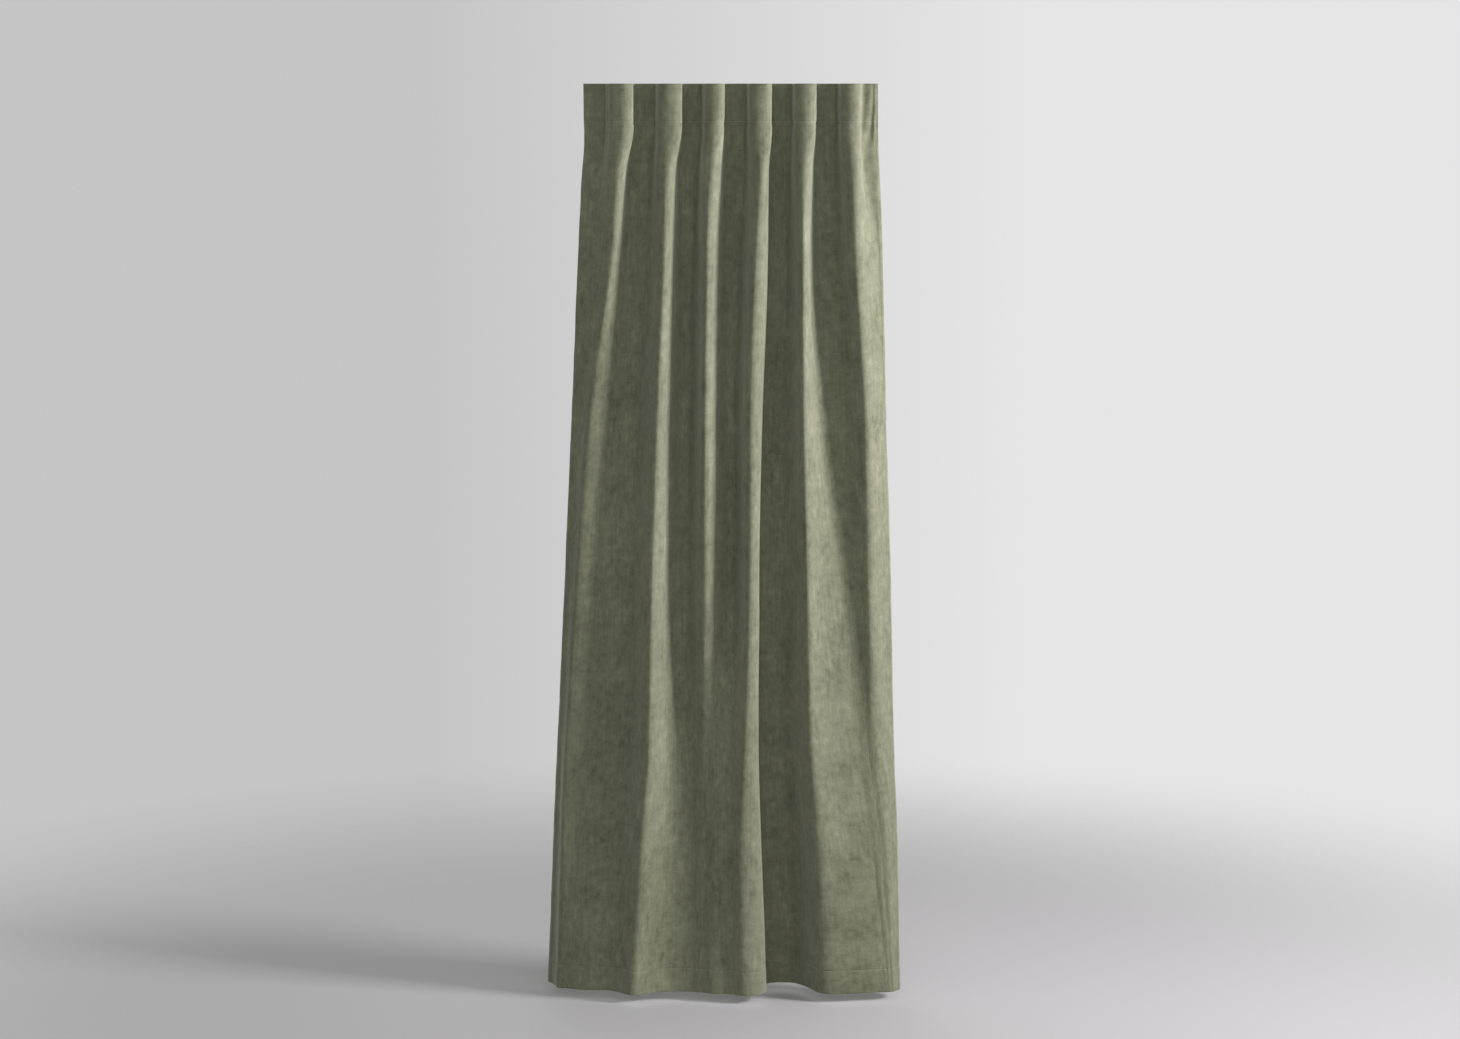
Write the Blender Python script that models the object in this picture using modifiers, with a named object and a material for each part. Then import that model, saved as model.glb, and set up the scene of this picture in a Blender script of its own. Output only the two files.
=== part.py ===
"""A gathered room curtain panel on a heading tape with hidden pole loops, hanging at rest.

Units are metres. The origin is on the axis of the pole that the panel hangs from, at the
middle of the heading. +X runs along the pole, -Y is the room side and +Z is up.
"""

from math import acos, atan2, cos, hypot, pi, radians, sin

import bmesh
import bpy
import numpy as np

# Driving sizes
TOP_Z = 0.021
DROP = 2.502
BOTTOM_Z = TOP_Z - DROP
CLOTH = 0.0020
GAP = 0.0005

# Heading tape with its loops and draw cords
POLE_RADIUS = 0.014
TAPE = 0.0010
TAPE_TOP_Z = 0.016
TAPE_BOTTOM_Z = -0.088
LOOP_THICKNESS = 0.0014
LOOP_WIDTH = 0.036
LOOP_INNER_Z = POLE_RADIUS + 0.00035
LOOP_X = (-0.372, -0.229, -0.103, 0.017, 0.140, 0.263, 0.374)
CORD_RADIUS = 0.0008
CORD_Z = (-0.024, -0.064)
KNOT_RADIUS = 0.0026
CORD_INSET = 0.008

# Hems, seams and label
BOTTOM_HEM_HEIGHT = 0.065
SIDE_SEAM_INSET = 0.020
LEFT_HEM_COLUMNS = slice(0, 4)
RIGHT_HEM_COLUMNS = slice(-5, None)
LABEL_COLUMNS = slice(1, 4)
HEM_LAYERS = 0.0030
HEM_GAP = 0.0014
CUT_GAP = 0.0009
THREAD_RADIUS = 0.0005
HEADING_SEAMS_Z = {"heading_seam_top": 0.013, "heading_seam_middle": -0.080, "heading_seam_low": -0.0855}
HEM_SEAM_Z = BOTTOM_Z + BOTTOM_HEM_HEIGHT - 0.002
LABEL_HEIGHT = 0.048
LABEL_THICKNESS = 0.0006
LABEL_TOP_Z = -2.30

# How the folds hang, level by level down the panel. Each fold lies between two valleys, where
# the loops hold the cloth back, and falls from its crest to its foot at its right. low and high
# are the heights of the valleys and crests as shares of the depth, tuck is how far the right
# flank hangs over and tail how slowly it runs out. soft goes from 0, the squared folds of the
# heading, to 1, the long waves below it.
LEVELS = (
    {"z": TOP_Z, "depth": 0.063, "back": 0.0185, "soft": 0,
     "valley": (-0.387, -0.229, -0.103, 0.017, 0.140, 0.263, 0.380),
     "crest": (-0.290, -0.165, -0.055, 0.075, 0.195, 0.320),
     "foot": (-0.261, -0.130, -0.016, 0.111, 0.231, 0.351),
     "low": (0, 0, 0, 0, 0, 0, 0), "high": (1, 1, 1, 1, 1, 1),
     "tuck": (1, 1, 1, 1, 1, 1), "tail": (0, 0, 0, 0, 0, 0)},
    {"z": -0.1, "depth": 0.065, "back": 0.0185, "soft": 0.05,
     "valley": (-0.387, -0.230, -0.104, 0.017, 0.140, 0.263, 0.382),
     "crest": (-0.295, -0.168, -0.057, 0.078, 0.193, 0.322),
     "foot": (-0.262, -0.131, -0.017, 0.111, 0.231, 0.351),
     "low": (0, 0, 0, 0, 0, 0, 0), "high": (1, 1, 1, 1, 1, 1),
     "tuck": (1, 1, 1, 1, 1, 1), "tail": (0, 0, 0, 0, 0, 0)},
    {"z": -0.209, "depth": 0.078, "back": 0.012, "soft": 0.5,
     "valley": (-0.398, -0.236, -0.108, 0.016, 0.141, 0.268, 0.394),
     "crest": (-0.306, -0.180, -0.068, 0.082, 0.184, 0.324),
     "foot": (-0.277, -0.143, -0.019, 0.104, 0.228, 0.359),
     "low": (0, 0, 0, 0, 0, 0, 0.25), "high": (0.95, 1, 1, 1, 1, 1),
     "tuck": (0.4, 0.5, 0.3, 1, 0.4, 0.7), "tail": (0, 0, 0, 0, 0, 0)},
    {"z": -0.424, "depth": 0.084, "back": 0.004, "soft": 0.9,
     "valley": (-0.412, -0.245, -0.110, 0.016, 0.144, 0.275, 0.408),
     "crest": (-0.324, -0.184, -0.070, 0.063, 0.191, 0.330),
     "foot": (-0.288, -0.142, -0.020, 0.101, 0.232, 0.395),
     "low": (0, 0.05, 0, 0, 0, 0, 0.2), "high": (0.8, 1, 1, 1, 1, 1),
     "tuck": (0.1, 0.1, 0.1, 1, 0, 0), "tail": (0, 0, 0, 0, 0.2, 0)},
    {"z": -0.886, "depth": 0.092, "back": -0.006, "soft": 1,
     "valley": (-0.434, -0.270, -0.120, 0.006, 0.135, 0.296, 0.422),
     "crest": (-0.388, -0.204, -0.074, 0.049, 0.196, 0.364),
     "foot": (-0.302, -0.147, -0.018, 0.086, 0.255, 0.418),
     "low": (0, 0.08, 0, 0.05, 0, 0.14, 0.2), "high": (0.52, 0.98, 0.92, 0.95, 0.97, 0.74),
     "tuck": (0, 0, 0, 0.9, 0, 0), "tail": (0, 0, 0, 0, 0.5, 0)},
    {"z": -1.313, "depth": 0.102, "back": -0.012, "soft": 1,
     "valley": (-0.457, -0.296, -0.126, 0.002, 0.130, 0.326, 0.437),
     "crest": (-0.422, -0.219, -0.076, 0.048, 0.206, 0.378),
     "foot": (-0.336, -0.156, -0.018, 0.077, 0.292, 0.433),
     "low": (0, 0.12, 0.05, 0.18, 0, 0.3, 0.24), "high": (0.42, 0.98, 0.72, 0.95, 0.92, 0.58),
     "tuck": (0, 0, 0, 1, 0, 0), "tail": (0, 0.2, 0, 0, 1, 0)},
    {"z": -1.801, "depth": 0.12, "back": -0.018, "soft": 1,
     "valley": (-0.481, -0.318, -0.126, -0.002, 0.136, 0.360, 0.450),
     "crest": (-0.456, -0.229, -0.074, 0.036, 0.216, 0.394),
     "foot": (-0.366, -0.163, -0.032, 0.078, 0.340, 0.446),
     "low": (0, 0.25, 0.25, 0.6, 0, 0.58, 0.34), "high": (0.36, 1, 0.54, 0.95, 0.95, 0.6),
     "tuck": (0, 0, 0, 1, 0, 0), "tail": (0, 0.4, 0, 0, 1, 0)},
    {"z": -2.083, "depth": 0.134, "back": -0.022, "soft": 1,
     "valley": (-0.495, -0.335, -0.120, -0.018, 0.150, 0.400, 0.461),
     "crest": (-0.468, -0.252, -0.080, 0.028, 0.236, 0.424),
     "foot": (-0.404, -0.168, -0.045, 0.086, 0.386, 0.457),
     "low": (0, 0.38, 0.5, 0.76, 0, 0.66, 0.46), "high": (0.38, 0.98, 0.6, 1, 0.92, 0.64),
     "tuck": (0, 0, 0, 1, 0, 0), "tail": (0, 0.6, 0, 0, 0.8, 0)},
    {"z": BOTTOM_Z, "depth": 0.144, "back": -0.026, "soft": 1,
     "valley": (-0.512, -0.360, -0.122, -0.020, 0.160, 0.440, 0.470),
     "crest": (-0.482, -0.276, -0.086, 0.036, 0.256, 0.450),
     "foot": (-0.412, -0.182, -0.052, 0.098, 0.434, 0.467),
     "low": (0, 0.56, 0.66, 0.84, 0, 0.7, 0.56), "high": (0.42, 0.94, 0.73, 1, 0.88, 0.67),
     "tuck": (0, 0, 0, 1, 0, 0), "tail": (0, 0.7, 0, 0, 0, 0)},
)
FOLDS = 6
POINTS_PER_FOLD = 11
EDGE_POINTS = 2
CREST_POINT = 5
FOOT_OF_FIRST_FOLD = 0.055
FOOT_OF_FOLD = 0.030

# Heights of the rows of the cloth's mesh, closer together where the folds change fastest
CLOTH_ROWS_Z = (TOP_Z, -0.100, -0.155, -0.209, -0.300, -0.424, -0.650, -0.886, -1.100, -1.313,
                -1.560, -1.801, -1.950, -2.083, -2.280, BOTTOM_Z + BOTTOM_HEM_HEIGHT, BOTTOM_Z)


# How the cloth hangs


def squared_fold(start, end, shoulder, low, next_low, high, foot):
    """Control points of one squared heading fold, as (x, height) pairs."""
    return [
        (start, low),
        (start + 0.55 * FOOT_OF_FOLD, low),
        (foot - 0.004, low + 0.02),
        (foot + 0.001, 0.45 * high),
        (foot + 0.006, 0.90 * high),
        ((foot + shoulder) / 2, high),
        (shoulder - 0.010, 0.99 * high),
        (shoulder + 0.002, 0.80 * high),
        (shoulder - 0.005, 0.42 * high),
        (shoulder - 0.002, next_low + 0.04),
        ((shoulder + end) / 2, next_low),
    ]


def hanging_fold(start, end, crest, foot, low, next_low, high, tuck, tail):
    """Control points of one long wave: a slow left side and a steep right flank."""
    left, flank, rest = crest - start, foot - crest, end - foot
    rise, fall = high - low, high - next_low
    points = [(start + s * left, low + h * rise) for s, h in (
        (0, 0), (0.20, 0.05), (0.42, 0.22), (0.63, 0.50), (0.82, 0.80), (0.97, 0.98))]
    points += [
        (crest + (0.20 + 0.16 * tuck - 0.08 * tail) * flank, next_low + (0.99 - 0.02 * tail) * fall),
        (crest + (0.46 + 0.40 * tuck - 0.16 * tail) * flank, next_low + (0.72 + 0.14 * tuck - 0.10 * tail) * fall),
        (crest + (0.72 + 0.34 * tuck - 0.14 * tail) * flank, next_low + (0.36 + 0.20 * tuck - 0.05 * tail) * fall),
        (foot - 0.008 * tuck, next_low + (0.07 + 0.09 * tuck) * fall),
        (foot + (0.5 - 0.3 * tuck) * rest, next_low),
    ]
    return points


def level_outline(level):
    """Control points of the cloth's cross-section at one level, as an array of (x, y)."""
    soft = level["soft"]
    valley, crest, foot = level["valley"], level["crest"], level["foot"]
    low, high = level["low"], level["high"]
    points = [
        (valley[0] - 0.009 + 0.012 * soft, low[0] - 0.22 * soft),
        (valley[0] - 0.007 + 0.004 * soft, low[0] - 0.12 * soft),
    ]
    for i in range(FOLDS):
        inner_foot = valley[i] + (FOOT_OF_FIRST_FOLD if i == 0 else FOOT_OF_FOLD)
        start, end, heights = valley[i], valley[i + 1], (low[i], low[i + 1], high[i])
        squared = squared_fold(start, end, foot[i], *heights, inner_foot)
        tuck, tail = level["tuck"][i] * soft, level["tail"][i]
        hanging = hanging_fold(start, end, crest[i], foot[i], *heights, tuck, tail)
        points += [
            tuple(a * (1 - soft) + b * soft for a, b in zip(one, other))
            for one, other in zip(squared, hanging)
        ]
    points += [
        (valley[-1], low[-1]),
        (valley[-1] + 0.009 - 0.006 * soft, low[-1] - 0.10 * soft),
        (valley[-1] + 0.0155 - 0.015 * soft, low[-1] - 0.25 * soft),
    ]
    x, height = np.array(points).T
    return np.column_stack([x, -(level["back"] + level["depth"] * height)])


OUTLINES = np.array([level_outline(level) for level in LEVELS])
LEVEL_DROPS = np.array([-level["z"] for level in LEVELS])


def slope_at(i):
    """How the outline's points move per metre of drop at a level, without overshooting."""
    steps = np.diff(OUTLINES, axis=0) / np.diff(LEVEL_DROPS)[:, None, None]
    if i in (0, len(LEVELS) - 1):
        return steps[0 if i == 0 else -1]
    above, below = steps[i - 1], steps[i]
    same_way = above * below > 0
    total = np.where(same_way, above + below, 1)
    return np.where(same_way, 2 * above * below / total, 0)


def outline_at(z):
    """The control points at any height, from a smooth curve through the levels."""
    drop = min(max(-z, LEVEL_DROPS[0]), LEVEL_DROPS[-1])
    i = min(max(int(np.searchsorted(LEVEL_DROPS, drop)) - 1, 0), len(LEVELS) - 2)
    span = LEVEL_DROPS[i + 1] - LEVEL_DROPS[i]
    t = (drop - LEVEL_DROPS[i]) / span
    return (
        (2 * t**3 - 3 * t**2 + 1) * OUTLINES[i]
        + (t**3 - 2 * t**2 + t) * span * slope_at(i)
        + (3 * t**2 - 2 * t**3) * OUTLINES[i + 1]
        + (t**3 - t**2) * span * slope_at(i + 1)
    )


def smooth_section(z):
    """Points along the middle of the cloth at height z, from its left edge to its right one."""
    points = outline_at(z)
    points = np.vstack([2 * points[0] - points[1], points, 2 * points[-1] - points[-2]])
    return (points[:-2] + 4 * points[1:-1] + points[2:]) / 6


CLOTH_ROWS = np.array([smooth_section(z) for z in CLOTH_ROWS_Z])


def cross_section(z):
    """The same points on the cloth as its mesh has it, straight between the mesh's rows."""
    drops = -np.array(CLOTH_ROWS_Z)
    i = min(int(np.searchsorted(drops, -z, side="right")), len(drops) - 1)
    share = (-z - drops[i - 1]) / (drops[i] - drops[i - 1])
    return CLOTH_ROWS[i - 1] * (1 - share) + CLOTH_ROWS[i] * share


def square_to(points):
    """For each point of a line, the step that moves it one unit sideways and keeps the line parallel."""
    step = np.diff(points, axis=0)
    step /= np.linalg.norm(step, axis=1)[:, None]
    square = np.column_stack([-step[:, 1], step[:, 0]])
    corner = np.vstack([2 * square[:1], square[:-1] + square[1:], 2 * square[-1:]])
    return corner / (np.sum(corner**2, axis=1) / 2)[:, None]


def moved_back(points, distance):
    """The same line moved towards the wall side by a distance, measured square to the cloth."""
    return points + distance * square_to(points)


def point_along(points, distance):
    """The point of a line at a distance from its first point, or from its last if negative."""
    lengths = np.concatenate([[0], np.cumsum(np.linalg.norm(np.diff(points, axis=0), axis=1))])
    place = distance if distance > 0 else lengths[-1] + distance
    return np.array([np.interp(place, lengths, points[:, k]) for k in (0, 1)])


def crest_columns():
    """Where the cloth is divided: its two edges and the crest of each fold."""
    crests = [EDGE_POINTS + i * POINTS_PER_FOLD + CREST_POINT for i in range(FOLDS)]
    return [0] + crests + [len(OUTLINES[0]) - 1]


def section(points, number, gap=CUT_GAP):
    """The stretch of a cross-section around one loop, a hair short of its neighbours."""
    columns = crest_columns()
    first, last = columns[number], columns[number + 1]
    piece = points[first:last + 1].copy()
    if number > 0:
        piece[0] += (piece[1] - piece[0]) * gap / np.linalg.norm(piece[1] - piece[0])
    if number < FOLDS:
        piece[-1] += (piece[-2] - piece[-1]) * gap / np.linalg.norm(piece[-2] - piece[-1])
    return piece


# Making the pieces


def clear_scene():
    for item in list(bpy.data.objects):
        bpy.data.objects.remove(item)


def make_material(name, colour, roughness, metallic=0.0):
    material = bpy.data.materials.new(name)
    material.use_nodes = True
    shader = material.node_tree.nodes["Principled BSDF"]
    shader.inputs["Base Color"].default_value = (*colour, 1)
    shader.inputs["Roughness"].default_value = roughness
    shader.inputs["Metallic"].default_value = metallic
    return material


def add_piece(name, data, material, collection):
    piece = bpy.data.objects.new(name, data)
    data.materials.append(material)
    collection.objects.link(piece)
    return piece


def add_sheet(name, rows, thickness, material, collection):
    """A closed sheet of cloth: a loft through rows of (x, y, z) points, given its thickness."""
    mesh = bmesh.new()
    grid = [[mesh.verts.new(point) for point in row] for row in rows]
    for upper, lower in zip(grid, grid[1:]):
        for i in range(len(upper) - 1):
            mesh.faces.new((upper[i], lower[i], lower[i + 1], upper[i + 1]))
    data = bpy.data.meshes.new(name)
    mesh.to_mesh(data)
    mesh.free()
    data.shade_smooth()
    piece = add_piece(name, data, material, collection)
    shell = piece.modifiers.new("thickness", "SOLIDIFY")
    shell.thickness = thickness
    shell.offset = 0
    shell.use_even_offset = True
    return piece


def at_height(points, z):
    return [(x, y, z) for x, y in points]


def add_tube(name, points, radius, material, collection):
    """A thread or cord: a curve with a round section and filled ends."""
    curve = bpy.data.curves.new(name, "CURVE")
    curve.dimensions = "3D"
    curve.bevel_depth = radius
    curve.bevel_resolution = 0
    curve.use_fill_caps = True
    spline = curve.splines.new("POLY")
    spline.points.add(len(points) - 1)
    for place, point in zip(spline.points, points):
        place.co = (*point, 1)
    return add_piece(name, curve, material, collection)


def add_face_cloth(material, collection):
    """The face cloth, divided at the fold crests so that each part follows its own loop."""
    for k in range(FOLDS + 1):
        rows = [at_height(section(cross_section(z), k), z) for z in CLOTH_ROWS_Z]
        add_sheet(f"face_cloth_{k + 1}", rows, CLOTH, material, collection)


def add_heading_tape(material, collection):
    back = CLOTH / 2 + GAP + TAPE / 2
    for k in range(FOLDS + 1):
        rows = [at_height(section(moved_back(cross_section(z), back), k), z)
                for z in (TAPE_TOP_Z, TAPE_BOTTOM_Z)]
        add_sheet(f"heading_tape_{k + 1}", rows, TAPE, material, collection)


def add_bottom_hem(material, collection):
    back = CLOTH / 2 + GAP + HEM_LAYERS / 2
    for k in range(FOLDS + 1):
        rows = [at_height(section(moved_back(cross_section(z), back), k, HEM_GAP), z)
                for z in (BOTTOM_Z + BOTTOM_HEM_HEIGHT, BOTTOM_Z + 0.0005)]
        add_sheet(f"bottom_hem_{k + 1}", rows, HEM_LAYERS, material, collection)


def add_side_hems(material, collection):
    back = CLOTH / 2 + GAP + HEM_LAYERS / 2
    top, bottom = TAPE_BOTTOM_Z - 0.003, BOTTOM_Z + BOTTOM_HEM_HEIGHT + 0.003
    heights = [top] + [z for z in CLOTH_ROWS_Z if bottom < z < top] + [bottom]
    for name, columns in (("side_hem_left", LEFT_HEM_COLUMNS), ("side_hem_right", RIGHT_HEM_COLUMNS)):
        rows = [at_height(moved_back(cross_section(z), back)[columns], z) for z in heights]
        add_sheet(name, rows, HEM_LAYERS, material, collection)


def add_seams(material, collection):
    """Rows of stitching, each one thread that lies on the room side of the cloth."""
    front = -(CLOTH / 2 + GAP + THREAD_RADIUS)
    rows = dict(HEADING_SEAMS_Z, bottom_hem_seam=HEM_SEAM_Z)
    for name, z in rows.items():
        line = moved_back(cross_section(z), front)[1:-1]
        add_tube(name, at_height(line, z), THREAD_RADIUS, material, collection)
    top, bottom = TAPE_BOTTOM_Z - 0.006, BOTTOM_Z + BOTTOM_HEM_HEIGHT + 0.006
    heights = [top] + [z for z in CLOTH_ROWS_Z if bottom < z < top] + [bottom]
    for name, distance in (("side_seam_left", SIDE_SEAM_INSET), ("side_seam_right", -SIDE_SEAM_INSET)):
        points = [(*point_along(moved_back(cross_section(z), front - GAP), distance), z) for z in heights]
        add_tube(name, points, THREAD_RADIUS, material, collection)


def add_draw_cords(material, collection):
    """Two cords that lie in the tape, each knotted at both ends."""
    back = CLOTH / 2 + GAP + TAPE + GAP + CORD_RADIUS
    for word, z in zip(("upper", "lower"), CORD_Z):
        line = moved_back(cross_section(z), back)
        line = np.vstack([point_along(line, CORD_INSET), line[3:-2], point_along(line, -CORD_INSET)])
        add_tube(f"draw_cord_{word}", at_height(line, z), CORD_RADIUS, material, collection)
        for side, end, inner in (("left", line[0], line[1]), ("right", line[-1], line[-2])):
            outward = (end - inner) / np.linalg.norm(end - inner)
            centre = end + outward * (KNOT_RADIUS + GAP) + np.array([0, KNOT_RADIUS - CORD_RADIUS])
            add_knot(f"cord_knot_{word}_{side}", (*centre, z), material, collection)


def add_knot(name, centre, material, collection):
    mesh = bmesh.new()
    bmesh.ops.create_icosphere(mesh, subdivisions=1, radius=KNOT_RADIUS)
    data = bpy.data.meshes.new(name)
    mesh.to_mesh(data)
    mesh.free()
    knot = add_piece(name, data, material, collection)
    knot.location = centre
    knot.rotation_euler = (0.3, 0.2, 0.1)


def band_outline(path, thickness):
    """The closed outline of a band of even thickness along a path of (y, z) points."""
    path = np.array(path)
    side = square_to(path) * thickness / 2
    return np.vstack([path + side, (path - side)[::-1]])


def loop_path():
    """The middle line of a loop as (y, z): upper foot, over and behind the pole, lower foot."""
    foot_y = -(LEVELS[0]["back"] - CLOTH / 2 - GAP - TAPE - GAP - LOOP_THICKNESS / 2)
    step = radians(15)
    radius = LOOP_INNER_Z / cos(step / 2) + LOOP_THICKNESS / 2
    top_z = LOOP_INNER_Z + LOOP_THICKNESS / 2
    path = [(foot_y, TOP_Z - 0.001), (foot_y, top_z + 0.0028), (foot_y + 0.0014, top_z + 0.0012)]
    path += [(foot_y + 0.0040, top_z + 0.0004), (foot_y + 0.0080, top_z)]
    lower_foot = (foot_y, TAPE_BOTTOM_Z + 0.009)
    reach = hypot(*lower_foot)
    tangent = atan2(lower_foot[1], lower_foot[0]) % (2 * pi) + acos(radius / reach) - 2 * pi
    angle = pi / 2 - step / 2
    while angle > tangent:
        path.append((radius * cos(angle), radius * sin(angle)))
        angle -= step
    path.append((radius * cos(tangent), radius * sin(tangent)))
    path += [lower_foot, (foot_y, TAPE_BOTTOM_Z + 0.001)]
    return path


def add_hidden_loops(material, collection):
    """The loops woven on the tape's back, which the pole runs through."""
    outline = band_outline(loop_path(), LOOP_THICKNESS)
    for k, x in enumerate(LOOP_X):
        name = f"hidden_loop_{k + 1}"
        curve = bpy.data.curves.new(name, "CURVE")
        curve.dimensions = "2D"
        curve.fill_mode = "BOTH"
        curve.extrude = LOOP_WIDTH / 2
        spline = curve.splines.new("POLY")
        spline.points.add(len(outline) - 1)
        for place, (y, z) in zip(spline.points, outline):
            place.co = (y, z, 0, 1)
        spline.use_cyclic_u = True
        loop = add_piece(name, curve, material, collection)
        loop.location = (x, 0, 0)
        loop.rotation_euler = (pi / 2, 0, pi / 2)


def add_care_label(material, collection):
    back = CLOTH / 2 + GAP + HEM_LAYERS + GAP + LABEL_THICKNESS / 2
    rows = [at_height(moved_back(cross_section(z), back)[LABEL_COLUMNS], z)
            for z in (LABEL_TOP_Z, LABEL_TOP_Z - LABEL_HEIGHT)]
    add_sheet("care_label", rows, LABEL_THICKNESS, material, collection)


def main():
    clear_scene()
    collection = bpy.data.collections.new("curtain_panel")
    bpy.context.scene.collection.children.link(collection)
    chenille = make_material("sage_chenille", (0.135, 0.145, 0.095), 0.9)
    turned = make_material("sage_chenille_hem", (0.120, 0.130, 0.085), 0.9)
    tape = make_material("white_woven_tape", (0.62, 0.62, 0.58), 0.8)
    webbing = make_material("white_loop_webbing", (0.66, 0.66, 0.62), 0.75)
    cord = make_material("white_draw_cord", (0.72, 0.72, 0.68), 0.7)
    thread = make_material("sage_thread", (0.20, 0.21, 0.14), 0.6)
    satin = make_material("white_satin_label", (0.80, 0.80, 0.78), 0.45)
    add_face_cloth(chenille, collection)
    add_bottom_hem(turned, collection)
    add_side_hems(turned, collection)
    add_heading_tape(tape, collection)
    add_hidden_loops(webbing, collection)
    add_draw_cords(cord, collection)
    add_seams(thread, collection)
    add_care_label(satin, collection)


main()
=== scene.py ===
from math import acos, atan2, cos, hypot, pi, radians, sin

import bpy
import numpy as np
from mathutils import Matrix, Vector


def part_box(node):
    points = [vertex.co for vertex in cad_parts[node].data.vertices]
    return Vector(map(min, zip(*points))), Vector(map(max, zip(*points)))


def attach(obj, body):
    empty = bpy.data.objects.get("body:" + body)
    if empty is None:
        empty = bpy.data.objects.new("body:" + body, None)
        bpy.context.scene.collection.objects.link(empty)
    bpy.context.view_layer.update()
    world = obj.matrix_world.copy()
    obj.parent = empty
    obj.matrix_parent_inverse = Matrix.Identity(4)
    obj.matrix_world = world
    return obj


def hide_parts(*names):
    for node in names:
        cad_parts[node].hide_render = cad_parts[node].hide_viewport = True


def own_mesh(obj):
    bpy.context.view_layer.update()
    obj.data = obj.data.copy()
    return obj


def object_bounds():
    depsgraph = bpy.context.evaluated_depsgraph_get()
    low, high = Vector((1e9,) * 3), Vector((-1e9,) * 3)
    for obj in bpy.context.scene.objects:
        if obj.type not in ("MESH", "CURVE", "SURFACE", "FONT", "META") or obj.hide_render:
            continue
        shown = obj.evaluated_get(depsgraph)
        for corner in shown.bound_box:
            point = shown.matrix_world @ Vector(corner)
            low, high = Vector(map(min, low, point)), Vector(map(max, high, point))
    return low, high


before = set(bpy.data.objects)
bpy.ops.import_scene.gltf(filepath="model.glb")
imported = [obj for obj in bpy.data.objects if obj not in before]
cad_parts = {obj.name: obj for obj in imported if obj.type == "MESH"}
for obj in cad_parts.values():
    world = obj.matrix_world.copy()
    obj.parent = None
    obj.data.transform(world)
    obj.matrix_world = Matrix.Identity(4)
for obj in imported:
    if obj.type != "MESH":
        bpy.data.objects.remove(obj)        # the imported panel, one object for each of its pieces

# A gathered curtain panel of sage chenille, hung on a pole by the loops behind its heading tape.
# +X runs along the pole to the leading edge, -Y is the room side, +Z is up, all in metres.

cadBounds = [list(corner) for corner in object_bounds()]
bpy.ops.object.select_all(action="DESELECT")
print("frame: %d pieces of the panel are in" % len(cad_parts))


# what the frame says
def middleOf(node):
    low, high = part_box(node)
    return (low + high) / 2


topZ = cadBounds[1][2]
bottomZ = cadBounds[0][2]
foldCount = 6
sections = foldCount + 1
loopMiddles = [middleOf("hidden_loop_%d" % (k + 1)) for k in range(sections)]
seamZ = {
    "top": middleOf("heading_seam_top").z,
    "middle": middleOf("heading_seam_middle").z,
    "low": middleOf("heading_seam_low").z,
    "hem": middleOf("bottom_hem_seam").z,
}
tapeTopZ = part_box("heading_tape_1")[1].z
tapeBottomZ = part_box("heading_tape_1")[0].z
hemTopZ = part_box("bottom_hem_1")[1].z


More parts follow.
